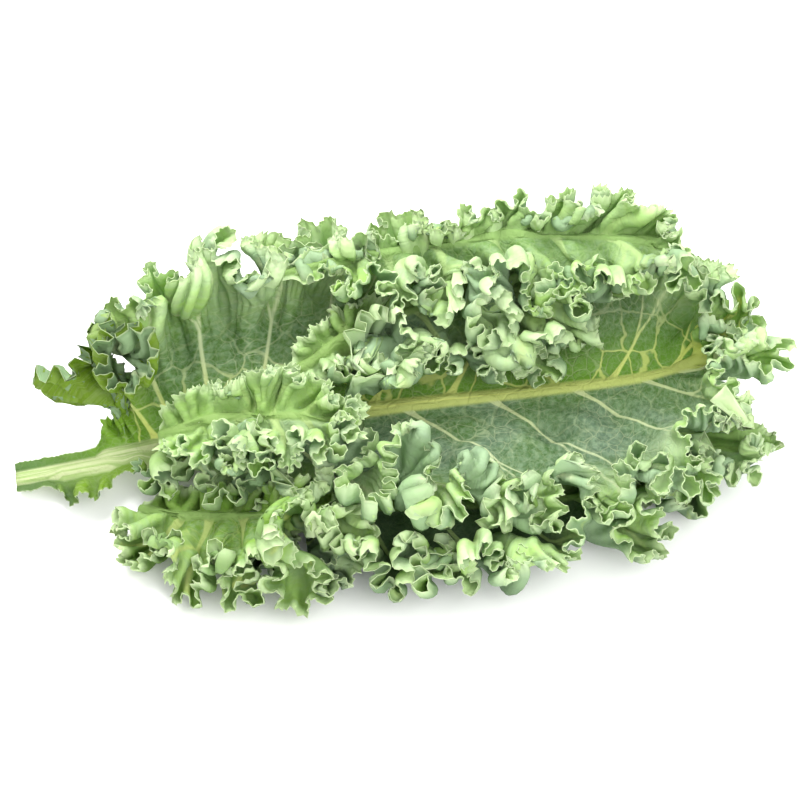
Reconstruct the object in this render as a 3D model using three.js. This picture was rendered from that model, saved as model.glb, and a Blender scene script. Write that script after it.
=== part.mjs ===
import * as THREE from 'three';

// A small bunch of curly kale, lying down. Millimetres, +Z up, the surface it lies on is Z = 0.
// +X runs from the cut stalk to the leaf tips, -Y is the near side, where the bunch opens.
// Every leaf is one closed body: stalk, midrib and blade grew together.

// ---- driving dimensions -------------------------------------------------------------------------
const BLADE_HALF_THICKNESS = 1.2;   // the frilled sheet, taken as one plain thickness
const RIB_RISE = 0.6;               // height of the midrib over the blade, in rib radii
const RIB_DROP = 1.0;               // depth of the midrib under the blade, in rib radii
const RIB_TAPER = 0.7;              // share of its radius that the midrib loses by the fork
const RIB_SHARE = 0.45;             // most of a column's half-width that the midrib may take
const RIB_SHOULDER = [0.62, 0.78];  // place and height of the row between midrib's crown and side
const STALK_WING = 1.2;             // narrow strip of blade along each side of a stalk
const BLADE_OPENING = 14;           // run of spine over which the stalk widens into the blade
const STALK_STEP = 0.35;            // share of the stations that a run of plain stalk gets
const RUFFLE_PITCH = 46;            // length of one wave of the margin
const RUFFLE_REACH = 46;            // how far in from the margin the waves start
const MARGIN_STEP = 11.5;           // spacing of the columns along the margin
const TIP_FAN = 40;                 // run given to the columns that fan out round the tip
const TIP_STEP = 5;                 // how far the foot of those columns moves past the fork
const STRIP_SHARE = 0.75;           // most of a column's half-width that may turn up
const FLATTEST_TURN = 0.05;         // radians of upturn under which the strip is left flat
// middle of the bunch on the surface, in the coordinates of the spines below
const BUNCH_MIDDLE = new THREE.Vector3(-4.2, -0.65, 3);
const ROWS = [0, 0.25, 0.5, 0.66, 0.8, 0.91, 1];   // rows from the rib's side to the margin

// Each leaf: a spine through a few points; the blade's half-widths (reach) and the angle of its side
// veins (sweep) at equal steps from blade start to fork; and the blade's slope at the spine (rise)
// and further turn towards the margin (curl). The outer strip of the blade turns up by upturn.
// Each pair is [near side, far side], angles in degrees.
const LEAVES = {
  main_leaf: {
    colour: 0x8cab68, rib: 7.6, blade: 62, fork: 306, ruffle: 4, phase: 3,
    spine: [[-187, -20, 8], [-125, -13, 19], [-62, -5, 31], [0, 3, 36], [62, 11, 37],
      [116, 16, 42], [150, 21, 50]],
    reach: [[10, 24, 52, 77, 89, 91, 80, 60], [56, 82, 85, 87, 88, 90, 82, 60]],
    sweep: [[115, 100, 82, 70, 62, 56, 44, 24], [114, 104, 92, 84, 78, 70, 56, 28]],
    rise: [[8, 4, 2, 0, 0, 4], [22, 21, 20, 20, 22, 22, 18]],
    curl: [[0, 0, -4, -6, -4, 6], [10, 8, 8, 10, 12, 14]],
    upturn: [[66, 66], [100, 92, 38, 18, 22, 36, 78]],
    strip: [[32, 36, 38, 38, 40], [56, 52, 40, 34, 36, 40, 42]],
    leaflets: [[{ at: 34, half: 11, width: 13 }], [{ at: 48, half: 7, width: 13 }]],
  },
  back_leaf: {
    colour: 0x86a55c, rib: 3.2, blade: 16, fork: 122, ruffle: 3, phase: 5,
    spine: [[-52, 10, 52], [-22, 30, 61], [10, 41, 66], [44, 46, 69], [76, 46, 71], [104, 42, 72]],
    reach: [[8, 30, 42, 46, 44, 34], [8, 10, 12, 14, 16, 18]],
    sweep: [[105, 94, 86, 74, 56, 24], [105, 94, 84, 70, 52, 24]],
    rise: [[-4, -14, -20, -20, -14], [16, 12, 10, 8, 8]],
    curl: [[-4, -10, -16, -16, -6], [5, 5, 5, 5, 5]],
    upturn: [[66, 66, 66, 36], [20, 20]], strip: [[30, 34, 34, 24], [8, 8]],
  },
  crest_leaf: {
    colour: 0xa6c284, rib: 3, blade: 20, fork: 178, ruffle: 3, phase: 17,
    spine: [[-58, 53, 77], [-22, 60, 81], [14, 65, 84], [56, 68, 88], [98, 63, 92], [134, 53, 95]],
    reach: [[8, 26, 38, 44, 44, 42, 32], [5, 6, 7, 12, 20, 24, 22]],
    sweep: [[100, 92, 86, 78, 68, 52, 24], [100, 90, 84, 76, 66, 52, 24]],
    rise: [[-2, -6, -8, -12, -14], [8, 12, 12, 10, 5]],
    curl: [[0, -4, -6, -8, -10], [0, 0, 0, 0, 0]],
    upturn: [[66, 66], [100, 100]], strip: [[30, 32], [18, 18]],
  },
  front_leaf: {
    colour: 0x94b174, rib: 4, blade: 34, fork: 238, ruffle: 3.5, phase: 7,
    spine: [[-112, -28, 8], [-64, -38, 12], [-10, -41, 14], [50, -41, 16], [104, -38, 22],
      [140, -35, 30]],
    reach: [[10, 30, 54, 62, 60, 52, 42, 28], [8, 10, 11, 11, 11, 12, 12, 14]],
    sweep: [[110, 96, 86, 76, 66, 54, 40, 20], [108, 92, 84, 74, 64, 54, 40, 20]],
    rise: [[0, -2, -2, -2, 0], [2, 0, 0, 0, 4]],
    curl: [[0, 0, 2, 2, 4], [0, 0, 0, 0, 0]],
    upturn: [[64, 64], [0, 0]], strip: [[44, 44], [8, 8]],
  },
  right_leaf: {
    colour: 0x9aac85, rib: 4.4, blade: 60, fork: 246, ruffle: 3, phase: 11,
    spine: [[-112, -6, 8], [-50, 6, 10], [10, 12, 11], [70, 10, 11], [128, -2, 15], [176, -16, 25]],
    reach: [[10, 18, 18, 15, 15, 26, 48, 42], [14, 26, 34, 44, 50, 50, 44, 30]],
    sweep: [[100, 90, 80, 72, 66, 60, 46, 22], [100, 90, 80, 72, 64, 54, 40, 20]],
    rise: [[0, 0, 0, 0, 6], [0, 0, 4, 8, 12]],
    curl: [[0, 0, -5, -10, -10], [0, 0, 5, 10, 20]],
    upturn: [[0, 0, 0, 10, 50], [10, 10]], strip: [[20, 24], [16, 16]],
  },
  far_leaf: {
    colour: 0x7f9c66, rib: 4.4, blade: 34, fork: 218, ruffle: 3, phase: 13,
    spine: [[-112, 24, 8], [-70, 46, 19], [-16, 60, 27], [46, 64, 32], [100, 62, 36], [138, 58, 41]],
    reach: [[14, 20, 20, 20, 20, 18, 18, 18], [18, 32, 36, 38, 38, 36, 32, 24]],
    sweep: [[108, 92, 84, 74, 64, 54, 40, 20], [110, 96, 86, 76, 66, 54, 40, 20]],
    rise: [[-4, -10, -16, -18, -14], [12, 14, 16, 18, 14]],
    curl: [[0, -4, -6, -6, 0], [8, 10, 12, 12, 8]],
    upturn: [[0, 0], [40, 40]], strip: [[8, 8], [20, 20]],
  },
  lower_left_leaf: {
    colour: 0x8faf64, rib: 3.2, blade: 16, fork: 90, ruffle: 3, phase: 19,
    spine: [[-126, -38, 9], [-106, -48, 15], [-84, -54, 23], [-60, -58, 30], [-40, -60, 36]],
    reach: [[20, 38, 42, 38, 30], [10, 13, 14, 14, 16]],
    sweep: [[126, 112, 96, 76, 30], [110, 96, 84, 64, 28]],
    rise: [[-2, -7, -9, -4], [6, 8, 10, 10]],
    curl: [[-8, -16, -18, -8], [5, 5, 5, 5]],
    upturn: [[55, 55], [30, 30]], strip: [[26, 26], [8, 8]],
  },
  inner_leaf: {
    colour: 0x9cbd7c, rib: 2.8, blade: 12, fork: 76, ruffle: 3, phase: 23,
    spine: [[-116, -17, 39], [-92, -18, 50], [-66, -20, 57], [-42, -24, 61], [-22, -31, 63]],
    reach: [[12, 22, 28, 28, 22], [10, 16, 20, 22, 20]],
    sweep: [[110, 98, 86, 66, 26], [110, 96, 84, 66, 26]],
    rise: [[-4, -8, -10, -8], [10, 10, 8, 4]],
    curl: [[-4, -8, -10, -8], [0, 0, 0, -5]],
    upturn: [[60, 60], [60, 60]], strip: [[20, 20], [14, 14]],
  },
};

// ---- small curves -------------------------------------------------------------------------------
const radians = THREE.MathUtils.degToRad;

// smooth curve through equally spaced numbers
function along(values, t) {
  const last = values.length - 1;
  const x = THREE.MathUtils.clamp(t, 0, 1) * last;
  const i = Math.min(Math.floor(x), last - 1);
  const f = x - i;
  const at = (k) => values[THREE.MathUtils.clamp(k, 0, last)];
  const [a, b, c, d] = [at(i - 1), at(i), at(i + 1), at(i + 2)];
  return b + 0.5 * f * (c - a + f * (2 * a - 5 * b + 4 * c - d + f * (3 * (b - c) + d - a)));
}

function pointAlong(points, t) {
  return new THREE.Vector3(...[0, 1, 2].map((k) => along(points.map((p) => p[k]), t)));
}

function ease(from, to, x) {
  const t = THREE.MathUtils.clamp((x - from) / (to - from), 0, 1);
  return t * t * (3 - 2 * t);
}

function spineLength(leaf) {
  let length = 0;
  const steps = 200;
  for (let i = 1; i <= steps; i++) {
    length += pointAlong(leaf.spine, i / steps).distanceTo(pointAlong(leaf.spine, (i - 1) / steps));
  }
  return length;
}

// ---- the leaf laid flat -------------------------------------------------------------------------
const ribRadius = (leaf, s) => leaf.rib * (1 - RIB_TAPER * THREE.MathUtils.clamp(s / leaf.fork, 0, 1));

// foot on the spine, half-width and vein angle of the column at run s: past the fork they turn
// round the last point of the spine to the tip, where both sides share one column
function flatColumn(leaf, s, side) {
  const t = (s - leaf.blade) / (leaf.fork - leaf.blade);
  const fan = THREE.MathUtils.clamp((s - leaf.fork) / TIP_FAN, 0, 1);
  let stalk = ribRadius(leaf, s) + STALK_WING;
  for (const lobe of (leaf.leaflets ?? [[], []])[side]) {
    stalk += lobe.width * Math.exp(-(((s - lobe.at) / lobe.half) ** 4));
  }
  if (s >= leaf.blade) {
    const tip = leaf.length - leaf.fork - TIP_STEP + ribRadius(leaf, leaf.fork);
    return {
      foot: Math.min(s, leaf.fork) + TIP_STEP * fan,
      reach: THREE.MathUtils.lerp(along(leaf.reach[side], t) + stalk, tip, ease(0, 1, fan)),
      sweep: radians(along(leaf.sweep[side], t) * (1 - fan)),
    };
  }
  const opening = ease(leaf.blade - BLADE_OPENING, leaf.blade, s);
  return {
    foot: s,
    reach: stalk + leaf.reach[side][0] * opening,
    sweep: radians(90 + (leaf.sweep[side][0] - 90) * opening),
  };
}

// runs whose columns cut both margins in about equal steps
function stations(leaf) {
  const fine = 1500;
  const end = leaf.fork + TIP_FAN;
  const run = [0];
  let previous = null;
  for (let i = 0; i < fine; i++) {
    const s = (i / (fine - 1)) * end;
    const ends = [0, 1].map((side) => {
      const { foot, reach, sweep } = flatColumn(leaf, s, side);
      return [foot + reach * Math.cos(sweep), reach * Math.sin(sweep)];
    });
    if (previous) {
      const weight = s < leaf.blade - BLADE_OPENING ? STALK_STEP : 1;
      const step = ends.reduce((sum, e, k) => (
        sum + Math.hypot(e[0] - previous[k][0], e[1] - previous[k][1]) * weight), TIP_STEP / fine);
      run.push(run[run.length - 1] + step);
    }
    previous = ends;
  }
  const total = run[run.length - 1];
  const count = Math.max(14, Math.round(total / 2 / MARGIN_STEP));
  const places = [];
  let j = 0;
  for (let i = 0; i <= count; i++) {
    const want = (i / count) * total;
    while (j < fine - 2 && run[j + 1] < want) j++;
    const f = (want - run[j]) / (run[j + 1] - run[j]);
    places.push(((j + THREE.MathUtils.clamp(f, 0, 1)) / (fine - 1)) * end);
  }
  return places;
}

// ---- the leaf in space --------------------------------------------------------------------------
// a point of the flat leaf, s along the spine and across it, bent to the leaf's real shape
function bend(leaf, s, across, side) {
  const t = THREE.MathUtils.clamp(s / leaf.length, 0, 1);
  const before = pointAlong(leaf.spine, Math.max(t - 0.002, 0));
  const after = pointAlong(leaf.spine, Math.min(t + 0.002, 1));
  const forward = after.sub(before).normalize();
  const sideways = new THREE.Vector3(0, 0, 1).cross(forward).normalize();
  const upward = forward.clone().cross(sideways);
  const start = leaf.blade * 0.8;
  const u = (s - start) / (leaf.length - start);
  const slope = radians(along(leaf.rise[side], u));
  let turn = radians(along(leaf.curl[side], u)) / Math.max(...leaf.reach[side]);
  if (Math.abs(turn) < 1e-5) turn = 1e-5;
  const out = (Math.sin(slope + turn * across) - Math.sin(slope)) / turn;
  const lift = (Math.cos(slope) - Math.cos(slope + turn * across)) / turn;
  return pointAlong(leaf.spine, t).sub(BUNCH_MIDDLE)
    .addScaledVector(forward, Math.max(s - leaf.length, 0))
    .addScaledVector(sideways, side === 0 ? -out : out)
    .addScaledVector(upward, lift);
}

// the points of one column, with its outer strip turned up in an arc about a hinge line
function bentColumn(leaf, column, distances, side) {
  const { foot, reach, sweep } = column;
  const at = (d) => bend(leaf, foot + d * Math.cos(sweep), d * Math.sin(sweep), side);
  const place = (foot - leaf.blade) / (leaf.fork - leaf.blade);
  const strip = Math.min(along(leaf.strip[side], place), reach * STRIP_SHARE);
  const opening = ease(leaf.blade - 12, leaf.blade + 6, foot);
  const turn = radians(along(leaf.upturn[side], place)) * opening;
  if (turn < FLATTEST_TURN) return distances.map(at);
  const hinge = at(reach - strip);
  const outward = at(reach).sub(hinge).normalize();
  const besideHinge = bend(leaf, foot + 1 + (reach - strip) * Math.cos(sweep),
    (reach - strip) * Math.sin(sweep), side).sub(hinge);
  const upright = besideHinge.cross(outward).normalize();
  if (side === 0) upright.negate();
  const radius = strip / turn;
  return distances.map((d) => {
    const beyond = d - (reach - strip);
    if (beyond <= 0) return at(d);
    const angle = (beyond / strip) * turn;
    return hinge.clone().addScaledVector(outward, radius * Math.sin(angle))
      .addScaledVector(upright, radius * (1 - Math.cos(angle)));
  });
}

function leafGeometry(leaf) {
  leaf.length = spineLength(leaf);
  const places = stations(leaf);
  const last = places.length - 1;
  const rows = ROWS.length + 2;

  // middle surface of each side, row by row
  const sides = [0, 1].map((side) => {
    const points = [];
    const depth = [];
    const reaches = [];
    for (let i = 0; i <= last; i++) {
      const s = places[i];
      const column = flatColumn(leaf, s, side);
      const { reach } = column;
      const rib = Math.min(ribRadius(leaf, s), reach * RIB_SHARE);
      const distances = [0, RIB_SHOULDER[0] * rib, ...ROWS.map((f) => rib + (reach - rib) * f)];
      points.push(bentColumn(leaf, column, distances, side));
      depth.push(distances.map((d) => THREE.MathUtils.clamp(
        (d - reach + RUFFLE_REACH) / RUFFLE_REACH, 0, 1)));
      reaches.push(reach);
    }
    // upward normals from the neighbouring points
    const normals = points.map((column, i) => column.map((_, j) => {
      const du = points[Math.min(i + 1, last)][j].clone().sub(points[Math.max(i - 1, 0)][j]);
      const dv = column[Math.min(j + 1, rows - 1)].clone().sub(column[Math.max(j - 1, 0)]);
      const n = du.cross(dv).normalize();
      return side === 0 ? n.negate() : n;
    }));
    // waves of the margin, the same phase at the tip for both sides
    const run = [0];
    for (let i = 1; i <= last; i++) {
      run.push(run[i - 1] + points[i][rows - 1].distanceTo(points[i - 1][rows - 1]));
    }
    const waves = places.map((s, i) => {
      const turn = ((run[i] - run[last]) / RUFFLE_PITCH) * 2 * Math.PI * (side === 0 ? 1 : -1);
      const blade = ease(leaf.blade - 10, leaf.blade + 14, s);
      return leaf.ruffle * blade * Math.cos(turn + leaf.phase);
    });
    return { points, depth, normals, waves, reaches };
  });

  // upper and lower skins share the spine row and the last column between both sides
  const positions = [];
  const index = [0, 1].map(() => [0, 1].map(() => []));
  for (const skin of [0, 1]) {
    for (const side of [0, 1]) {
      for (let i = 0; i <= last; i++) {
        index[skin][side].push([]);
        for (let j = 0; j < rows; j++) {
          if (side === 1 && (j === 0 || i === last)) {
            index[skin][side][i].push(index[skin][0][i][j]);
            continue;
          }
          const here = sides[side];
          const n = here.normals[i][j].clone();
          if (j === 0 || i === last) n.add(sides[1 - side].normals[i][j]).normalize();
          const rib = Math.min(ribRadius(leaf, places[i]), here.reaches[i] * RIB_SHARE);
          const section = [1, RIB_SHOULDER[1]][j] ?? 0;
          const offset = skin === 0
            ? BLADE_HALF_THICKNESS + section * rib * RIB_RISE
            : -BLADE_HALF_THICKNESS - section * rib * RIB_DROP;
          const wave = here.waves[i] * here.depth[i][j] ** 1.5;
          const p = here.points[i][j].clone().addScaledVector(n, wave + offset);
          index[skin][side][i].push(positions.length / 3);
          positions.push(p.x, p.y, p.z);
        }
      }
    }
  }
  const triangles = [];
  const quad = (a, b, c, d) => triangles.push(a, b, c, a, c, d);
  for (const skin of [0, 1]) {
    for (const side of [0, 1]) {
      const at = index[skin][side];
      for (let i = 0; i < last; i++) {
        for (let j = 0; j < rows - 1; j++) {
          const corners = [at[i][j], at[i + 1][j], at[i + 1][j + 1], at[i][j + 1]];
          quad(...(skin === side ? corners.reverse() : corners));
        }
      }
    }
  }
  // the narrow rim round the margin and across the cut stalk
  const rim = [];
  for (let i = 0; i <= last; i++) rim.push([0, i, rows - 1]);
  for (let i = last - 1; i >= 0; i--) rim.push([1, i, rows - 1]);
  for (let j = rows - 2; j >= 0; j--) rim.push([1, 0, j]);
  for (let j = 1; j < rows - 1; j++) rim.push([0, 0, j]);
  rim.forEach(([side, i, j], k) => {
    const [side2, i2, j2] = rim[(k + 1) % rim.length];
    quad(index[0][side][i][j], index[1][side][i][j], index[1][side2][i2][j2], index[0][side2][i2][j2]);
  });

  const geometry = new THREE.BufferGeometry();
  geometry.setAttribute('position', new THREE.Float32BufferAttribute(positions, 3));
  geometry.setIndex(triangles);
  geometry.computeVertexNormals();
  return geometry;
}

// ---- the bunch ----------------------------------------------------------------------------------
const bunch = new THREE.Group();
bunch.name = 'kale_bunch';
for (const [name, leaf] of Object.entries(LEAVES)) {
  const material = new THREE.MeshStandardMaterial({ color: leaf.colour, roughness: 0.55, metalness: 0 });
  material.name = `${name}_green`;
  const mesh = new THREE.Mesh(leafGeometry(leaf), material);
  mesh.name = name;
  bunch.add(mesh);
}

export default bunch;
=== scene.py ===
import math

import bpy
import numpy as np
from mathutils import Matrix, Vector


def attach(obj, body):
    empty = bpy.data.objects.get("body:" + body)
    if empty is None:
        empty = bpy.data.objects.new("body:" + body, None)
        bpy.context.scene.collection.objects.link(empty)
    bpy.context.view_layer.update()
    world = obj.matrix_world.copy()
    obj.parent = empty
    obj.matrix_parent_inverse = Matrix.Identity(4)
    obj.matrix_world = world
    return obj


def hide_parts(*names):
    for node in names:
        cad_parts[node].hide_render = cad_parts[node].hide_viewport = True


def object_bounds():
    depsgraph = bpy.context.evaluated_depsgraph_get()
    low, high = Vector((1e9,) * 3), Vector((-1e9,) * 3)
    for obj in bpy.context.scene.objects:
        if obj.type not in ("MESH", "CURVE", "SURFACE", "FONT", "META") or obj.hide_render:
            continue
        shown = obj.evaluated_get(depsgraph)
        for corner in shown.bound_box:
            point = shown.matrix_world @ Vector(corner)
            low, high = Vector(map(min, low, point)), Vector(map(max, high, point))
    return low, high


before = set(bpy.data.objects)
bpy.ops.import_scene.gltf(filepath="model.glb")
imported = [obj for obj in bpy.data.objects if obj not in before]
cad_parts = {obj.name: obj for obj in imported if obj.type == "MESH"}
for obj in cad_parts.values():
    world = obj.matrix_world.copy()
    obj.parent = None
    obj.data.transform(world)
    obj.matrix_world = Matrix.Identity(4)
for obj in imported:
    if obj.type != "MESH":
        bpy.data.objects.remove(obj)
cad_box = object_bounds()
low, high = (Vector(corner) for corner in cad_box)
MM = 0.001

# ---- Camera ----------------------------------------------------------------------------------
# Looks down on the near side of the bunch through a long lens.
CAMERA_ELEVATION = math.radians(50)
FRAME_WIDTH = 400 * MM
LENS, SENSOR = 150, 36
aim = Vector(((low.x + high.x) / 2 + 4.2 * MM, (low.y + high.y) / 2 + 36.1 * MM, 0))
camera_data = bpy.data.cameras.new("camera")
camera_data.lens = LENS
camera_data.sensor_width = SENSOR
camera = bpy.data.objects.new("camera", camera_data)
bpy.context.scene.collection.objects.link(camera)
away = Vector((0, -math.cos(CAMERA_ELEVATION), math.sin(CAMERA_ELEVATION)))
camera.location = aim + away * FRAME_WIDTH * LENS / SENSOR
camera.rotation_euler = (-away).to_track_quat("-Z", "Y").to_euler()
bpy.context.scene.camera = camera

# ---- Floor and light -------------------------------------------------------------------------
# A plain pale floor under a bright soft sky, with one large soft lamp behind and one in front.
bpy.ops.mesh.primitive_plane_add(size=8, location=(0, 0, 0))
floor = bpy.context.object
floor.name = "floor"
floor_paint = bpy.data.materials.new("floor_white")
floor_paint.use_nodes = True
floor_shader = floor_paint.node_tree.nodes["Principled BSDF"]
floor_shader.inputs["Base Color"].default_value = (0.95, 0.95, 0.95, 1)
floor_shader.inputs["Roughness"].default_value = 0.9
floor.data.materials.append(floor_paint)

sky = bpy.data.worlds.new("sky")
bpy.context.scene.world = sky
sky.use_nodes = True
sky.node_tree.nodes["Background"].inputs["Color"].default_value = (1, 1, 1, 1)
sky.node_tree.nodes["Background"].inputs["Strength"].default_value = 1.25
for lamp_name, place, width, power in (
        ("lamp_back", (-0.35, 0.55, 1.1), 0.7, 22), ("lamp_front", (0.5, -0.7, 0.9), 0.9, 10)):
    lamp_data = bpy.data.lights.new(lamp_name, "AREA")
    lamp_data.size = width
    lamp_data.energy = power
    lamp = bpy.data.objects.new(lamp_name, lamp_data)
    lamp.location = place
    lamp.rotation_euler = (-Vector(place)).to_track_quat("-Z", "Y").to_euler()
    bpy.context.scene.collection.objects.link(lamp)
bpy.context.scene.view_settings.view_transform = "Standard"


# ---- Main leaf -------------------------------------------------------------------------------
# The long curly leaf with the cut stalk. One grown sheet: a thick midrib, side veins that fork,
# and a margin so much longer than the blade that it folds into frills on frills. The flat leaf is
# laid out in rows from the midrib to the margin, bent along its spine, and folded three times over.

# distances of the rows from the rib to the margin, closer together where the folds are small
ROWS = np.array([0, 0.035, 0.085, 0.14, 0.20, 0.265, 0.33, 0.395, 0.46, 0.52, 0.575, 0.63, 0.68,
                 0.725, 0.765, 0.80, 0.835, 0.868, 0.898, 0.925, 0.95, 0.97, 0.986, 1.0])
RIB_ROWS = (0, 0.3, 0.6, 0.85)
COLUMNS_PER_MM = 5.6
SHEET_HALF = 0.3          # half the thickness of the blade
FLOOR_GAP = 1.6           # lowest that the middle of the sheet comes to the floor
SWELL = 1.6               # height of the low swells of the blade
TANGLE = 5                # how far the margin wanders before it folds
VEIN_HALF = 1.1           # half-width of a side vein where it leaves the midrib
STALK_WING = 1.2          # narrow strip of blade along each side of a stalk
RIB_TAPER = 0.7           # share of its radius that the midrib loses by the fork
RIB_SHARE = 0.45          # most of a column's half-width that the midrib may take
BLADE_OPENING = 14        # run of spine over which the stalk widens into the blade
TIP_STEP = 5              # how far the foot of the last columns moves past the fork
# pitch of the folds, how far in from the margin they reach, and the swing of the fold in radians
DEEP_FOLDS = ((32, 66, 1.7), (11.5, 26, 1.6), (5.2, 6.5, 0.9))
# middle of the bunch on the surface, in the coordinates of the spines
BUNCH_MIDDLE = np.array((-4.2, -0.65, 3))
TIP_FAN = 40              # run given to the columns that fan out round the tip


def wander(x, seed, spread=2.4):
    """Smooth random curve, about -1 to 1."""
    draw = np.random.default_rng(seed)
    total = 0
    for _ in range(6):
        wave = np.sin(x * draw.uniform(0.3, spread) + draw.uniform(0, 6.28))
        total = total + wave * draw.uniform(0.5, 1)
    return total / 2.6


def ease(start, end, x):
    t = np.clip((x - start) / (end - start), 0, 1)
    return t * t * (3 - 2 * t)


def along(values, x):
    """Smooth curve through equally spaced values or points."""
    v = np.asarray(values, float)
    last = len(v) - 1
    x = np.clip(x, 0, 1) * last
    i = np.clip(np.floor(x).astype(int), 0, last - 1)
    f = x - i
    if v.ndim > 1:
        f = f[..., None]
    a, b, c, d = v[np.clip(i - 1, 0, last)], v[i], v[i + 1], v[np.clip(i + 2, 0, last)]
    return b + 0.5 * f * (c - a + f * (2 * a - 5 * b + 4 * c - d + f * (3 * (b - c) + d - a)))


def unit(v):
    return v / np.maximum(np.linalg.norm(v, axis=-1, keepdims=True), 1e-12)


def run_length(points):
    return np.concatenate([[0], np.cumsum(np.linalg.norm(np.diff(points, axis=0), axis=1))])


def flat_column(leaf, s, side):
    """Foot on the spine, half-width and vein angle of the flat leaf's column at run s."""
    t = (s - leaf["blade"]) / (leaf["fork"] - leaf["blade"])
    fan = np.clip((s - leaf["fork"]) / TIP_FAN, 0, 1)
    stalk = leaf["rib"] * (1 - RIB_TAPER * np.clip(s / leaf["fork"], 0, 1)) + STALK_WING
    for at, half, width in leaf.get("leaflets", ((), ()))[side]:
        stalk = stalk + width * np.exp(-((s - at) / half) ** 4)
    opening = ease(leaf["blade"] - BLADE_OPENING, leaf["blade"], s)
    reach = np.where(s < leaf["blade"], stalk + leaf["reach"][side][0] * opening,
                     stalk + along(leaf["reach"][side], t))
    sweep = np.where(s < leaf["blade"], 90 + (leaf["sweep"][side][0] - 90) * opening,
                     along(leaf["sweep"][side], t))
    tip = leaf["length"] - leaf["fork"] - TIP_STEP + leaf["rib"] * (1 - RIB_TAPER)
    reach = reach + (tip - reach) * ease(0, 1, fan)
    return np.minimum(s, leaf["fork"]) + TIP_STEP * fan, reach, np.radians(sweep * (1 - fan))


def bend(leaf, s, across, side):
    """Bends a point of the flat leaf, s along the spine and across it, to the leaf's real shape."""
    length = leaf["length"]
    t = np.clip(s / length, 0, 1)
    after = along(leaf["spine"], np.clip(t + 0.002, 0, 1))
    before = along(leaf["spine"], np.clip(t - 0.002, 0, 1))
    forward = unit(after - before)
    sideways = unit(np.cross((0, 0, 1.0), forward))
    upward = np.cross(forward, sideways)
    u = (s - leaf["blade"] * 0.8) / (length - leaf["blade"] * 0.8)
    slope = np.radians(along(leaf["rise"][side], u))
    turn = np.radians(along(leaf["curl"][side], u)) / max(leaf["reach"][side])
    turn = np.where(np.abs(turn) < 1e-5, 1e-5, turn)
    out = (np.sin(slope + turn * across) - np.sin(slope)) / turn * (-1 if side == 0 else 1)
    lift = (np.cos(slope) - np.cos(slope + turn * across)) / turn
    middle = along(leaf["spine"], t) - BUNCH_MIDDLE
    beyond = np.maximum(s - length, 0)
    return (middle + forward * beyond[..., None] + sideways * out[..., None]
            + upward * lift[..., None])


def bessel(order, x):
    return sum((-1) ** k / (math.factorial(k) * math.factorial(k + order)) * (x / 2) ** (2 * k + order)
               for k in range(8))


def fold(points, phase, drift, swing, pitch, lift=0.0):
    """Folds the sheet into waves whose walls lean over by swing, keeping the margin's length."""
    turn = np.gradient(phase)[None, :, None]
    ahead = np.gradient(points, axis=1) / turn
    out = unit(np.cross(np.gradient(points, axis=0), np.gradient(points, axis=1)))
    j0, j1, j2, j3, j4 = (bessel(k, swing) for k in range(5))
    t = phase[None] + drift
    shift = (j2 * np.sin(2 * t) + j4 / 2 * np.sin(4 * t)) / j0
    height = -2 * (j1 * np.cos(t) + j3 / 3 * np.cos(3 * t)) / j0
    height = height + lift * 2 * j1 / j0
    size = np.linalg.norm(ahead, axis=-1, keepdims=True)
    natural = pitch / (2 * math.pi)
    ahead = ahead * np.minimum(1, natural / np.maximum(size, 1e-9))
    size = np.minimum(size, natural)
    return points + ahead * shift[..., None] + out * size * height[..., None]


def blade_gate(leaf, place):
    """Nought on the stalk, one on the blade."""
    return ease(leaf["blade"] - 12, leaf["blade"] + 6, place)


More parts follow.
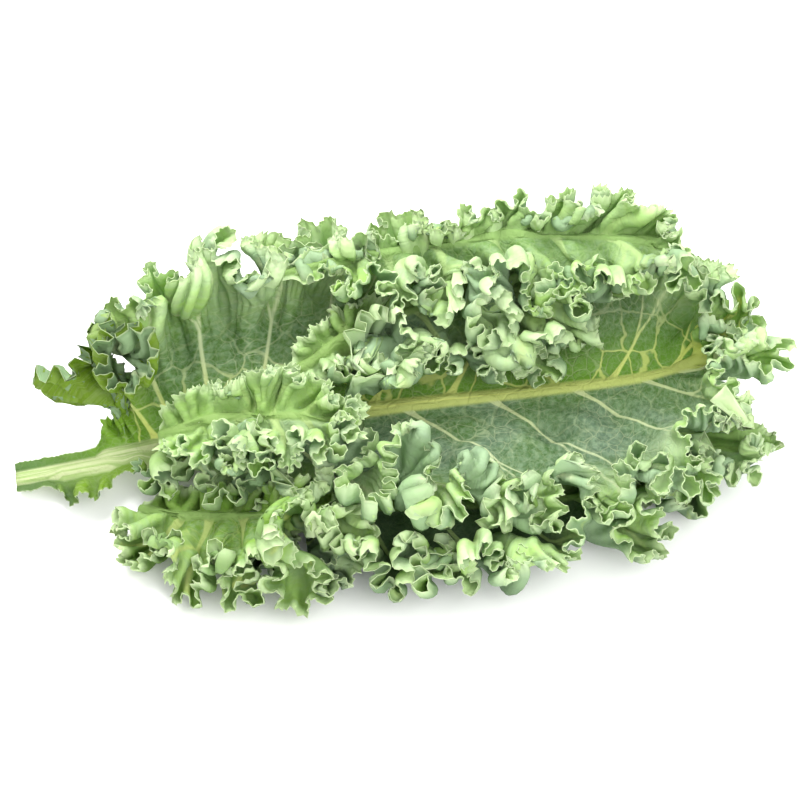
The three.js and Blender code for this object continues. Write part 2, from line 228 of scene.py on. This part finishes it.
def leaf_mesh(name, leaf):
    spine = along(leaf["spine"], np.linspace(0, 1, 201))
    leaf["length"] = length = run_length(spine)[-1]
    # stations on the spine, so that their columns cut the two margins in equal steps
    fine = np.linspace(0, leaf["fork"] + TIP_FAN, 1500)
    weight = np.where(fine < leaf["blade"] - BLADE_OPENING, 0.35, 1)[1:]
    total = np.linspace(0, TIP_STEP, len(fine))
    for side in (0, 1):
        foot, reach, sweep = flat_column(leaf, fine, side)
        margin = np.stack([foot + reach * np.cos(sweep), reach * np.sin(sweep)], -1)
        steps = np.linalg.norm(np.diff(margin, axis=0), axis=1) * weight
        total = total + np.concatenate([[0], np.cumsum(steps)])
    columns = int(total[-1] / 2 * leaf.get("columns_per_mm", COLUMNS_PER_MM) / 8) * 8
    stations = np.interp(np.linspace(0, total[-1], columns + 1), total, fine)
    # the whole sheet as one grid: near side from stalk to tip, then far side from tip to stalk
    flat = []
    for side in (0, 1):
        foot, reach, sweep = flat_column(leaf, stations, side)
        t = (stations - leaf["blade"]) / (leaf["fork"] - leaf["blade"])
        back = leaf["vein_lean"] * np.sin(math.pi * np.clip(t, 0, 1))
        taper = 1 - RIB_TAPER * np.clip(stations / leaf["fork"], 0, 1)
        rib = np.minimum(leaf["rib"] * taper, reach * RIB_SHARE)
        distance = np.array([rib * f for f in RIB_ROWS] + [rib + (reach - rib) * f for f in ROWS])
        part = distance / reach
        s = foot - back * (1 - part) + distance * np.cos(sweep)
        across = distance * np.sin(sweep)
        order = slice(None) if side == 0 else slice(None, None, -1)
        grid = bend(leaf, s, across, side)
        pieces = (grid, np.stack([s, across * (-1 if side == 0 else 1)], -1), reach - distance,
                  np.broadcast_to(reach, part.shape), np.broadcast_to(rib, part.shape),
                  np.broadcast_to(stations, part.shape))
        flat.append([p[:, order] for p in pieces])
    joined = [np.concatenate([a, b[:, 1:]], axis=1) for a, b in zip(*flat)]
    points, plan, depth, reach, rib, place = joined
    rows, wide = depth.shape
    mid = columns
    # the outer strip of the blade turns up, so that its margin faces upwards
    far_share = ease(mid - wide * 0.03, mid + wide * 0.03, np.arange(wide))
    at = (place[0] - leaf["blade"]) / (leaf["fork"] - leaf["blade"])

    def both_sides(pair):
        return along(pair[0], at) * (1 - far_share) + along(pair[1], at) * far_share

    turn_most = np.radians(both_sides(leaf["upturn"]))
    turn_most = turn_most * (0.85 + 0.3 * wander(run_length(points[-1]) / 22, leaf["seed"] + 20))
    strip = np.minimum(both_sides(leaf["strip"]), reach[-1] * 0.75)
    fold_depth = both_sides(leaf.get("fold_depth", ((1, 1), (1, 1))))
    fold_share = both_sides(leaf.get("fold_share", ((1, 1), (1, 1))))
    normal = unit(np.cross(np.gradient(points, axis=0), np.gradient(points, axis=1)))
    hinge, upright = np.empty((wide, 3)), np.empty((wide, 3))
    for c in range(wide):
        for axis in range(3):
            hinge[c, axis] = np.interp(-strip[c], -depth[:, c], points[:, c, axis])
            upright[c, axis] = np.interp(-strip[c], -depth[:, c], normal[:, c, axis])
    outward = unit(points[-1] - hinge)
    turned = np.clip((strip[None] - depth) / strip[None], 0, None) * turn_most[None]
    radius = strip[None] / np.maximum(turn_most[None], 0.02)
    curled = (hinge[None] + outward[None] * (radius * np.sin(turned))[..., None]
              + upright[None] * (radius * (1 - np.cos(turned)))[..., None])
    in_strip = ((depth < strip[None]) & (turn_most[None] > 0.03))[..., None]
    points = np.where(in_strip, points + (curled - points) * (blade_gate(leaf, place))[..., None], points)
    # low swells of the blade between its veins
    blade_part = blade_gate(leaf, place)
    across = np.abs(plan[..., 1])
    swell = (wander(plan[..., 0] * 0.11 + plan[..., 1] * 0.05, leaf["seed"] + 40)
             * wander(plan[..., 1] * 0.13 - plan[..., 0] * 0.03, leaf["seed"] + 41))
    normal = unit(np.cross(np.gradient(points, axis=0), np.gradient(points, axis=1)))
    points = points + normal * (swell * SWELL * 2 * ease(3, 22, across) * blade_part)[..., None]
    # the margin leans and wanders before it folds
    run = run_length(points[-1])
    tangle = TANGLE * ease(45, 5, depth) * ease(4, 30, reach) * blade_part
    for axis in range(3):
        drawn = wander(run[None] / 15 + depth / 14, leaf["seed"] + 60 + axis)
        points[..., axis] += tangle * drawn * 0.8
    # three sizes of fold, each measured along the margin that the last one left
    for k, (pitch, deep, swing) in enumerate(leaf["folds"]):
        run = run_length(points[-1])
        vary = 1 + 0.36 * wander(run / pitch * 1.2, leaf["seed"] * 10 + k)
        turns = np.cumsum(np.diff(run) / pitch * 2 * math.pi / vary[1:])
        phase = np.concatenate([[0], turns]) + leaf["seed"]
        strength = 1 + 0.24 * wander(run / pitch * 0.8, leaf["seed"] * 10 + k + 5)
        reach_in = deep * fold_depth[None] ** (1, 0.85, 0)[k]
        near_margin = (ease(reach_in, reach_in * 0.06, depth)
                       * ease(0.75, 1.8, across / np.maximum(rib, 2.5)))
        room = ease(4, 28, reach) * fold_share[None] if k == 0 else ease(1.5, 10, reach - 1.25 * rib)
        body = np.maximum(blade_part, ease(16, 44, reach)) if k == 0 else 1
        drift = (0.9, 1.3, 1.3)[k] * wander(
            depth / (pitch * 0.42) + run[None] / pitch * 0.5, leaf["seed"] + 90 + k)
        swings = np.clip(swing * strength[None] * near_margin * room * body, 0, 1.9)
        if k == 2:
            beat = phase * 1.5 + 2.6 * wander(run / 5, leaf["seed"] + 77)
            tooth = 2.4 * (0.5 + 0.5 * np.cos(beat)) ** 1.6
            tooth = tooth * (0.75 + 0.45 * wander(run / 5, leaf["seed"] + 78))
            edge_way = unit(points[-1] - points[-2])
            points = points + edge_way[None] * (tooth[None] * ease(4, 0, depth) * room)[..., None]
        points = fold(points, phase, drift, swings, pitch, leaf["lift"][k])
    height = points[..., 2]
    settled = FLOOR_GAP + 4 * np.exp(np.minimum(height - FLOOR_GAP - 4, 0) / 4)
    points[..., 2] = np.where(height < FLOOR_GAP + 4, settled, height)
    # raised midrib and side veins, thicker underneath
    normal = unit(np.cross(np.gradient(points, axis=0), np.gradient(points, axis=1)))
    spine_normal = unit(normal[0] + normal[0, ::-1])
    normal[0] = spine_normal
    rib_section = np.clip(1 - (across / np.maximum(rib, 0.1)) ** 2, 0, 1) ** 0.6
    vein_gap = np.full(depth.shape, 50.0)
    plan_steps = np.linalg.norm(np.diff(plan, axis=1), axis=-1)
    walk = np.concatenate([np.zeros((rows, 1)), np.cumsum(plan_steps, axis=1)], axis=1)
    part = 1 - depth / reach
    for side in (0, 1):
        for start in leaf["veins"][side]:
            i = int(np.argmin(np.abs(stations - start)))
            fork_at, spread = 0.42 + 0.2 * math.sin(start), columns * 0.022
            for branch in (-1, 1):
                column = i + branch * spread * np.clip(part[:, mid // 2] - fork_at, 0, 1) * 2.2
                if side == 1:
                    column = wide - 1 - column
                at_column = np.array([np.interp(column[r], np.arange(wide), walk[r])
                                      for r in range(rows)])
                gap = np.abs(walk - at_column[:, None])
                own = np.zeros(wide, bool)
                own[:mid + 1 if side == 0 else None] = True
                if side == 1:
                    own[:mid] = False
                gap = np.where(own[None], gap, 50)
                half = VEIN_HALF * (1 - 0.75 * part)
                half = half + 1.3 * np.exp(np.minimum(rib - across, 0) / 3)
                vein_gap = np.minimum(vein_gap, gap * 0.85 - half + 1.25)
    vein_gap = np.where(part > 0.9, np.maximum(vein_gap, (part - 0.9) * 30), vein_gap)
    vein_section = np.clip(1 - (vein_gap / 1.25) ** 2, 0, 1) * (1 - 0.75 * part)
    thick = SHEET_HALF * (0.5 + 0.5 * ease(0, 4, depth)) * (1 + 0.3 * rib_section)
    upper = thick + rib_section * rib * 0.6 + vein_section * 0.55
    under = thick + rib_section * rib * 1.0 + vein_section * 1.1
    # lower and upper skins, thinned to fewer columns towards the spine, sewn along the margin
    row_at = part[:, mid // 2]
    stride = np.where(row_at < 0.40, 8, np.where(row_at < 0.66, 4, np.where(row_at < 0.89, 2, 1)))
    number = np.full((2, rows, wide), -1)
    coords, values = [], {"edge": [], "vein": [], "rib": [], "under": []}
    plan_out = []
    count = 0
    for skin, offset in ((0, upper), (1, -under)):
        shell = points + normal * offset[..., None]
        for r in range(rows):
            pick = np.arange(0, wide, stride[r])
            if r == 0:
                pick = pick[pick <= mid]
            number[skin, r, pick] = count + np.arange(len(pick))
            if r == 0:
                number[skin, r, wide - 1 - pick] = number[skin, r, pick]
            count += len(pick)
            coords.append(shell[r, pick])
            values["edge"].append(depth[r, pick])
            values["vein"].append(vein_gap[r, pick])
            values["rib"].append(across[r, pick] - rib[r, pick])
            values["under"].append(np.full(len(pick), float(skin)))
            plan_out.append(plan[r, pick])
    faces = []
    for skin in (0, 1):
        n = number[skin]
        for r in range(rows - 1):
            a, b = stride[r], stride[r + 1]
            c = np.arange(0, wide - 1, a)
            if a == b:
                sets = [(n[r, c], n[r, c + a], n[r + 1, c + a], n[r + 1, c])]
            else:
                low_a, low_b = n[r, c], n[r, c + a]
                top_a, top_m, top_b = n[r + 1, c], n[r + 1, c + b], n[r + 1, c + a]
                sets = [(low_a, top_m, top_a), (low_a, low_b, top_m), (low_b, top_b, top_m)]
            for corners in sets:
                block = np.stack(corners, -1)
                faces += (block[:, ::-1] if skin == 1 else block).tolist()
    c = np.arange(wide - 1)
    rim = np.stack([number[0, -1, c], number[0, -1, c + 1], number[1, -1, c + 1], number[1, -1, c]], -1)
    faces += rim[:, ::-1].tolist()
    for column, turn in ((0, 1), (wide - 1, -1)):
        for r in range(rows - 1):
            corner = [number[0, r, column], number[0, r + 1, column],
                      number[1, r + 1, column], number[1, r, column]]
            faces.append([int(v) for v in corner[::turn]])
    mesh = bpy.data.meshes.new(name)
    mesh.from_pydata((np.concatenate(coords) * MM).tolist(), [], faces)
    for key, parts in values.items():
        layer = mesh.attributes.new(key, "FLOAT", "POINT")
        layer.data.foreach_set("value", np.concatenate(parts).astype(np.float32))
    flat_place = np.concatenate(plan_out)
    uv = mesh.uv_layers.new(name="flat_leaf")
    loops = np.empty(len(mesh.loops), int)
    mesh.loops.foreach_get("vertex_index", loops)
    uv.data.foreach_set("uv", (flat_place[loops] / 100).astype(np.float32).ravel())
    mesh.polygons.foreach_set("use_smooth", np.ones(len(mesh.polygons), bool))
    mesh.update()
    piece = bpy.data.objects.new(name, mesh)
    bpy.context.scene.collection.objects.link(piece)
    print(name, "columns", wide, "triangles", sum(len(f) - 2 for f in faces))
    return piece


def leaf_green(name, look):
    """Leaf tissue: deep green blade, pale veins and edge line, a bloom of grey, light through it, and a
    painted shade that darkens it close to the floor.
    """
    paint = bpy.data.materials.new(name)
    paint.use_nodes = True
    tree = paint.node_tree
    tree.nodes.clear()
    new, join = tree.nodes.new, tree.links.new

    def value(kind, inputs, **settings):
        node = new(kind)
        for key, setting in settings.items():
            setattr(node, key, setting)
        for key, source in inputs.items():
            if hasattr(source, "is_output"):
                join(source, node.inputs[key])
            else:
                node.inputs[key].default_value = source
        return node

    def band(source, start, end, low=0.0, high=1.0):
        node = value("ShaderNodeMapRange", {"Value": source, "From Min": start, "From Max": end,
                                            "To Min": low, "To Max": high}, interpolation_type="SMOOTHSTEP")
        return node.outputs[0]

    def mix(factor, first, second, blend="MIX"):
        node = value("ShaderNodeMix", {"Factor": factor}, data_type="RGBA", blend_type=blend)
        for socket, source in ((node.inputs[6], first), (node.inputs[7], second)):
            if hasattr(source, "is_output"):
                join(source, socket)
            else:
                socket.default_value = (*source, 1)
        return node.outputs[2]

    def read(attribute):
        return value("ShaderNodeAttribute", {}, attribute_name=attribute).outputs["Fac"]

    def times(a, b):
        return value("ShaderNodeMath", {0: a, 1: b}, operation="MULTIPLY").outputs[0]

    def most(a, b):
        return value("ShaderNodeMath", {0: a, 1: b}, operation="MAXIMUM").outputs[0]

    edge, vein, rib, under = (read(a) for a in ("edge", "vein", "rib", "under"))
    spot = value("ShaderNodeUVMap", {}, uv_map="flat_leaf").outputs[0]
    solid_spot = new("ShaderNodeTexCoord").outputs["Object"]
    patches = value("ShaderNodeTexNoise", {"Vector": solid_spot, "Scale": 26, "Detail": 2}).outputs[0]
    mottle = value("ShaderNodeTexNoise", {"Vector": spot, "Scale": 34, "Detail": 4}).outputs[0]
    cloud = value("ShaderNodeTexNoise", {"Vector": spot, "Scale": 3.2, "Detail": 2}).outputs[0]
    place = value("ShaderNodeSeparateXYZ", {"Vector": spot})
    stripe_spot = value("ShaderNodeMapping", {"Vector": spot, "Scale": (2.2, 60, 1)}).outputs[0]
    stripes = value("ShaderNodeTexNoise", {"Vector": stripe_spot, "Scale": 1, "Detail": 2}).outputs[0]
    # net of fine veins, warped so that its cells are not straight
    warp = value("ShaderNodeTexNoise", {"Vector": spot, "Scale": 9, "Detail": 2}).outputs["Color"]
    bent = value("ShaderNodeMixRGB", {"Fac": 0.06, "Color1": spot, "Color2": warp},
                 blend_type="ADD").outputs[0]
    net_wide, net_mid, net_fine = (
        value("ShaderNodeTexVoronoi", {"Vector": bent, "Scale": scale},
              feature="DISTANCE_TO_EDGE").outputs[0] for scale in (5.2, 14, 38))
    wide_line = times(times(band(net_wide, 0.04, 0.012), band(edge, 14, 32)), band(rib, 60, 12))
    mid_line = times(times(band(net_mid, 0.06, 0.012), band(edge, 6, 24)), band(cloud, 0.34, 0.6))
    fine_line = band(net_fine, 0.14, 0.02)

    blade = mix(band(place.outputs[1], -0.04, 0.04), look["blade_near"], look["blade"])
    blade = mix(times(band(patches, 0.38, 0.62), 0.8), blade, look["blade_deep"])
    frill = mix(band(patches, 0.35, 0.65), look["frill"], look["frill_lime"])
    colour = mix(band(edge, 8, 44), frill, blade)
    colour = mix(times(band(mottle, 0.35, 0.7), 0.4), colour, look["bloom"])
    on_blade = band(place.outputs[0], look["stalk_end"] + 0.02, look["stalk_end"] + 0.22)
    colour = mix(on_blade, look["leaflet"], colour)
    far_side = band(place.outputs[1], -0.03, 0.03, 0.2, 1)
    colour = mix(times(band(rib, 34, 1, 0, 0.75), far_side), colour, look["lime"])
    colour = mix(times(fine_line, 0.1), colour, look["vein"])
    colour = mix(times(mid_line, 0.26), colour, look["vein"])
    line = mix(times(band(rib, 40, 4), far_side), look["vein"], look["rib_middle"])
    colour = mix(times(times(wide_line, far_side), 0.65), colour, line)
    height = value("ShaderNodeSeparateXYZ", {"Vector": solid_spot}).outputs[2]
    colour = mix(times(under, 0.7), colour, look["underside"])
    # painted shade: close to the floor the colour is darkened towards the low colour, standing in for the
    # shade on the lowest layers
    colour = mix(times(band(height, look["floor_shade_top"], 0.006), 0.75), colour, look["low"])
    colour = mix(times(times(band(edge, 4.5, 0.4), 0.6), on_blade), colour, look["margin"])
    colour = mix(times(band(vein, 1.5, 0.8), 0.9), colour, line)
    midrib = mix(band(rib, -2.2, -3.6), look["rib"], look["rib_middle"])
    stalk = mix(band(stripes, 0.42, 0.62), look["stalk"], look["stalk_stripe"])
    midrib = mix(band(place.outputs[0], look["stalk_end"], look["stalk_end"] + 0.9), stalk, midrib)
    colour = mix(band(rib, 1.2, -0.8), colour, midrib)
    colour = mix(times(band(edge, 0.5, 0.1), 0.4), colour, look["edge"])

    lines = most(times(fine_line, 0.4), most(wide_line, mid_line))
    crinkle = value("ShaderNodeTexNoise", {"Vector": solid_spot, "Scale": 300, "Detail": 4}).outputs[0]
    raised = value("ShaderNodeMath", {0: times(crinkle, 0.8), 1: times(lines, 0.5)},
                   operation="ADD").outputs[0]
    bump = value("ShaderNodeBump", {"Height": raised, "Strength": 0.5, "Distance": 0.0016})
    shader = value("ShaderNodeBsdfPrincipled",
                   {"Base Color": colour, "Roughness": 0.6, "Specular IOR Level": 0.3})
    join(bump.outputs[0], shader.inputs["Normal"])
    through = value("ShaderNodeBsdfTranslucent", {"Color": colour})
    both = value("ShaderNodeMixShader", {0: 0.36, 1: shader.outputs[0], 2: through.outputs[0]})
    out = new("ShaderNodeOutputMaterial")
    join(both.outputs[0], out.inputs[0])
    return paint


def srgb(*levels):
    """Linear colour from the usual 0 to 255 levels."""
    shares = [level / 255 for level in levels]
    return tuple(v / 12.92 if v <= 0.04045 else ((v + 0.055) / 1.055) ** 2.4 for v in shares)


def finish_leaf(piece, node, paint):
    piece.data.materials.append(paint)
    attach(piece, "root")
    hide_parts(node)


# colours of the leaf tissue, one set for each kind of leaf; low is not a colour of the leaf but the painted
# shade close to the floor, and the height after it says how high that shade reaches
GREEN = dict(blade=srgb(100, 135, 72), blade_near=srgb(93, 118, 96), blade_deep=srgb(74, 113, 47),
             frill=srgb(200, 226, 168), frill_lime=srgb(178, 216, 116), bloom=srgb(166, 192, 158),
             vein=srgb(204, 216, 170), lime=srgb(116, 164, 44), rib=srgb(200, 211, 122),
             rib_middle=srgb(228, 236, 138), margin=srgb(222, 238, 194), edge=srgb(236, 246, 206),
             underside=srgb(150, 178, 146), leaflet=srgb(122, 155, 40), stalk=srgb(196, 206, 156),
             stalk_stripe=srgb(160, 184, 116), stalk_end=0.5, low=srgb(70, 98, 64), floor_shade_top=0.02)
SMALL = dict(GREEN, rib=srgb(148, 180, 102), rib_middle=srgb(160, 190, 112),
             vein=srgb(182, 204, 136), lime=srgb(130, 168, 80), stalk=srgb(148, 180, 102),
             stalk_stripe=srgb(138, 172, 90), stalk_end=-0.4)
LIME = dict(SMALL, blade=srgb(116, 154, 58), blade_near=srgb(116, 154, 58),
            blade_deep=srgb(96, 138, 44), lime=srgb(122, 164, 54), vein=srgb(196, 210, 128),
            frill=srgb(160, 194, 112), frill_lime=srgb(140, 184, 72), underside=srgb(132, 164, 104),
            low=srgb(112, 146, 62))
# the front leaf's painted shade near the floor reaches higher up
FRONT = dict(SMALL, floor_shade_top=0.036)
CREST = dict(SMALL, blade=srgb(116, 154, 80), blade_near=srgb(116, 154, 80),
             lime=srgb(136, 174, 92), rib=srgb(150, 184, 108), rib_middle=srgb(158, 190, 114),
             vein=srgb(180, 206, 138))
main_leaf = leaf_mesh("main_leaf_curly", dict(
    seed=3, rib=7.6, blade=62, fork=306, vein_lean=34,
    spine=((-187, -20, 8), (-125, -13, 19), (-62, -5, 31), (0, 3, 36), (62, 11, 37), (116, 16, 42),
           (150, 21, 50)),
    reach=((10, 24, 52, 77, 89, 91, 80, 60), (56, 82, 85, 87, 88, 90, 82, 60)),
    sweep=((115, 100, 82, 70, 62, 56, 44, 24), (114, 104, 92, 84, 78, 70, 56, 28)),
    rise=((8, 4, 2, 0, 0, 4), (22, 21, 20, 20, 22, 22, 18)),
    curl=((0, 0, -4, -6, -4, 6), (10, 8, 8, 10, 12, 14)),
    upturn=((66, 66), (100, 92, 38, 18, 22, 36, 78)),
    strip=((32, 36, 38, 38, 40), (56, 52, 40, 34, 36, 40, 42)),
    leaflets=(((34, 11, 13),), ((48, 7, 13),)),
    veins=((84, 112, 142, 172, 204, 236, 266, 292, 330),
           (70, 84, 108, 134, 162, 192, 222, 252, 280, 306, 336)),
    fold_depth=((1, 1, 1, 1.2, 1.6), (2.1, 2.1, 1.5, 1, 1, 1.2, 1.5)), columns_per_mm=4.9,
    folds=((33, 44, 1.7), (11.5, 29, 1.6), (5.2, 6.5, 0.9)), lift=(0.1, 0, 0)))
finish_leaf(main_leaf, "main_leaf", leaf_green("main_leaf_tissue", GREEN))

# ---- Back leaf -------------------------------------------------------------------------------
# A shorter leaf on the far half of the main leaf. Its near margin hangs over the main blade.
back_leaf = leaf_mesh("back_leaf_curly", dict(
    seed=5, rib=3.2, blade=16, fork=122, vein_lean=10,
    spine=((-52, 10, 52), (-22, 30, 61), (10, 41, 66), (44, 46, 69), (76, 46, 71), (104, 42, 72)),
    reach=((8, 30, 42, 46, 44, 34), (8, 10, 12, 14, 16, 18)),
    sweep=((105, 94, 86, 74, 56, 24), (105, 94, 84, 70, 52, 24)),
    rise=((-4, -14, -20, -20, -14), (16, 12, 10, 8, 8)),
    curl=((-4, -10, -16, -16, -6), (5, 5, 5, 5, 5)),
    upturn=((66, 66, 66, 36), (20, 20)),
    strip=((30, 34, 34, 24), (8, 8)),
    veins=((30, 52, 74, 96, 114), (34, 60, 88, 112)),
    folds=((30, 76, 1.7), (11.5, 34, 1.6), (5.2, 6.5, 0.9)),
    lift=(0.2, 0, 0)))
finish_leaf(back_leaf, "back_leaf", leaf_green("back_leaf_tissue", SMALL))

# ---- Crest leaf ------------------------------------------------------------------------------
# The highest leaf, at the far right.
crest_leaf = leaf_mesh("crest_leaf_curly", dict(
    seed=17, rib=3, blade=20, fork=178, vein_lean=8,
    spine=((-58, 53, 77), (-22, 60, 81), (14, 65, 84), (56, 68, 88), (98, 63, 92), (134, 53, 95)),
    reach=((8, 26, 38, 44, 44, 42, 32), (5, 6, 7, 12, 20, 24, 22)),
    sweep=((100, 92, 86, 78, 68, 52, 24), (100, 90, 84, 76, 66, 52, 24)),
    rise=((-2, -6, -8, -12, -14), (8, 12, 12, 10, 5)),
    curl=((0, -4, -6, -8, -10), (0, 0, 0, 0, 0)),
    upturn=((66, 66), (100, 100)),
    strip=((30, 32), (18, 18)),
    veins=((36, 62, 88, 114, 140, 162), (40, 70, 100, 130, 158)),
    folds=((26, 80, 1.6), (11, 44, 1.5), (5.2, 6.5, 0.9)),
    lift=(0.1, 0, 0)))
finish_leaf(crest_leaf, "crest_leaf", leaf_green("crest_leaf_tissue", CREST))

# ---- Front leaf ------------------------------------------------------------------------------
# Lies on the surface under the near half. Its near margin stands up in a deep band of frills.
front_leaf = leaf_mesh("front_leaf_curly", dict(
    seed=7, rib=4, blade=34, fork=238, vein_lean=14,
    spine=((-112, -28, 8), (-64, -38, 12), (-10, -41, 14), (50, -41, 16), (104, -38, 22), (140, -35, 30)),
    reach=((10, 30, 54, 62, 60, 52, 42, 28), (8, 10, 11, 11, 11, 12, 12, 14)),
    sweep=((110, 96, 86, 76, 66, 54, 40, 20), (108, 92, 84, 74, 64, 54, 40, 20)),
    rise=((0, -2, -2, -2, 0), (2, 0, 0, 0, 4)),
    curl=((0, 0, 2, 2, 4), (0, 0, 0, 0, 0)),
    upturn=((64, 64), (0, 0)),
    strip=((44, 44), (8, 8)),
    veins=((54, 80, 108, 136, 164, 192, 216), (54, 84, 114, 146, 178, 208)),
    folds=DEEP_FOLDS,
    lift=(0.3, 0, 0)))
finish_leaf(front_leaf, "front_leaf", leaf_green("front_leaf_tissue", FRONT))

# ---- Right leaf ------------------------------------------------------------------------------
# The lowest leaf. It carries the others and makes the right-hand end.
right_leaf = leaf_mesh("right_leaf_curly", dict(
    seed=11, rib=4.4, blade=60, fork=246, vein_lean=14,
    spine=((-112, -6, 8), (-50, 6, 10), (10, 12, 11), (70, 10, 11), (128, -2, 15), (176, -16, 25)),
    reach=((10, 18, 18, 15, 15, 26, 48, 42), (14, 26, 34, 44, 50, 50, 44, 30)),
    sweep=((100, 90, 80, 72, 66, 60, 46, 22), (100, 90, 80, 72, 64, 54, 40, 20)),
    rise=((0, 0, 0, 0, 6), (0, 0, 4, 8, 12)),
    curl=((0, 0, -5, -10, -10), (0, 0, 5, 10, 20)),
    upturn=((0, 0, 0, 10, 50), (10, 10)),
    strip=((20, 24), (16, 16)),
    veins=((84, 116, 148, 176, 204, 230), (84, 116, 148, 176, 204, 230)),
    fold_share=((0.4, 0.4, 0.4, 0.4, 0.9, 1), (0.3, 0.3, 0.3, 0.4, 0.6)),
    folds=DEEP_FOLDS,
    lift=(0.2, 0, 0)))
finish_leaf(right_leaf, "right_leaf", leaf_green("right_leaf_tissue", SMALL))

# ---- Far leaf --------------------------------------------------------------------------------
# Props up the far side from below.
far_leaf = leaf_mesh("far_leaf_curly", dict(
    seed=13, rib=4.4, blade=34, fork=218, vein_lean=10,
    spine=((-112, 24, 8), (-70, 46, 19), (-16, 60, 27), (46, 64, 32), (100, 62, 36), (138, 58, 41)),
    reach=((14, 20, 20, 20, 20, 18, 18, 18), (18, 32, 36, 38, 38, 36, 32, 24)),
    sweep=((108, 92, 84, 74, 64, 54, 40, 20), (110, 96, 86, 76, 66, 54, 40, 20)),
    rise=((-4, -10, -16, -18, -14), (12, 14, 16, 18, 14)),
    curl=((0, -4, -6, -6, 0), (8, 10, 12, 12, 8)),
    upturn=((0, 0), (40, 40)),
    strip=((8, 8), (20, 20)),
    veins=((54, 90, 126, 162, 196), (54, 84, 114, 146, 178, 204)),
    fold_share=((0.4, 0.4), (0.75, 0.75)),
    folds=DEEP_FOLDS,
    lift=(0.1, 0, 0)))
finish_leaf(far_leaf, "far_leaf", leaf_green("far_leaf_tissue", SMALL))

# ---- Lower left leaf -------------------------------------------------------------------------
# A small leaf that opens towards the near left.
lower_left_leaf = leaf_mesh("lower_left_leaf_curly", dict(
    seed=19, rib=3.2, blade=16, fork=90, vein_lean=4,
    spine=((-126, -38, 9), (-106, -48, 15), (-84, -54, 23), (-60, -58, 30), (-40, -60, 36)),
    reach=((20, 38, 42, 38, 30), (10, 13, 14, 14, 16)),
    sweep=((126, 112, 96, 76, 30), (110, 96, 84, 64, 28)),
    rise=((-2, -7, -9, -4), (6, 8, 10, 10)),
    curl=((-8, -16, -18, -8), (5, 5, 5, 5)),
    upturn=((55, 55), (30, 30)),
    strip=((26, 26), (8, 8)),
    veins=((28, 44, 60, 78), (34, 54, 74)), folds=DEEP_FOLDS, lift=(0.2, 0, 0)))
finish_leaf(lower_left_leaf, "lower_left_leaf", leaf_green("lower_left_leaf_tissue", LIME))

# ---- Inner leaf ------------------------------------------------------------------------------
# A young leaf on top of the start of the main midrib, most of it frill.
inner_leaf = leaf_mesh("inner_leaf_curly", dict(
    seed=23, rib=2.8, blade=12, fork=76, vein_lean=2,
    spine=((-116, -17, 39), (-92, -18, 50), (-66, -20, 57), (-42, -24, 61), (-22, -31, 63)),
    reach=((12, 22, 28, 28, 22), (10, 16, 20, 22, 20)),
    sweep=((110, 98, 86, 66, 26), (110, 96, 84, 66, 26)),
    rise=((-4, -8, -10, -8), (10, 10, 8, 4)),
    curl=((-4, -8, -10, -8), (0, 0, 0, -5)),
    upturn=((60, 60), (60, 60)),
    strip=((20, 20), (14, 14)),
    veins=((42, 56, 70), (42, 56, 70)),
    folds=((19, 60, 1.7), (9.5, 32, 1.5), (5.0, 6, 0.9)),
    lift=(0.2, 0, 0)))
finish_leaf(inner_leaf, "inner_leaf", leaf_green("inner_leaf_tissue", SMALL))
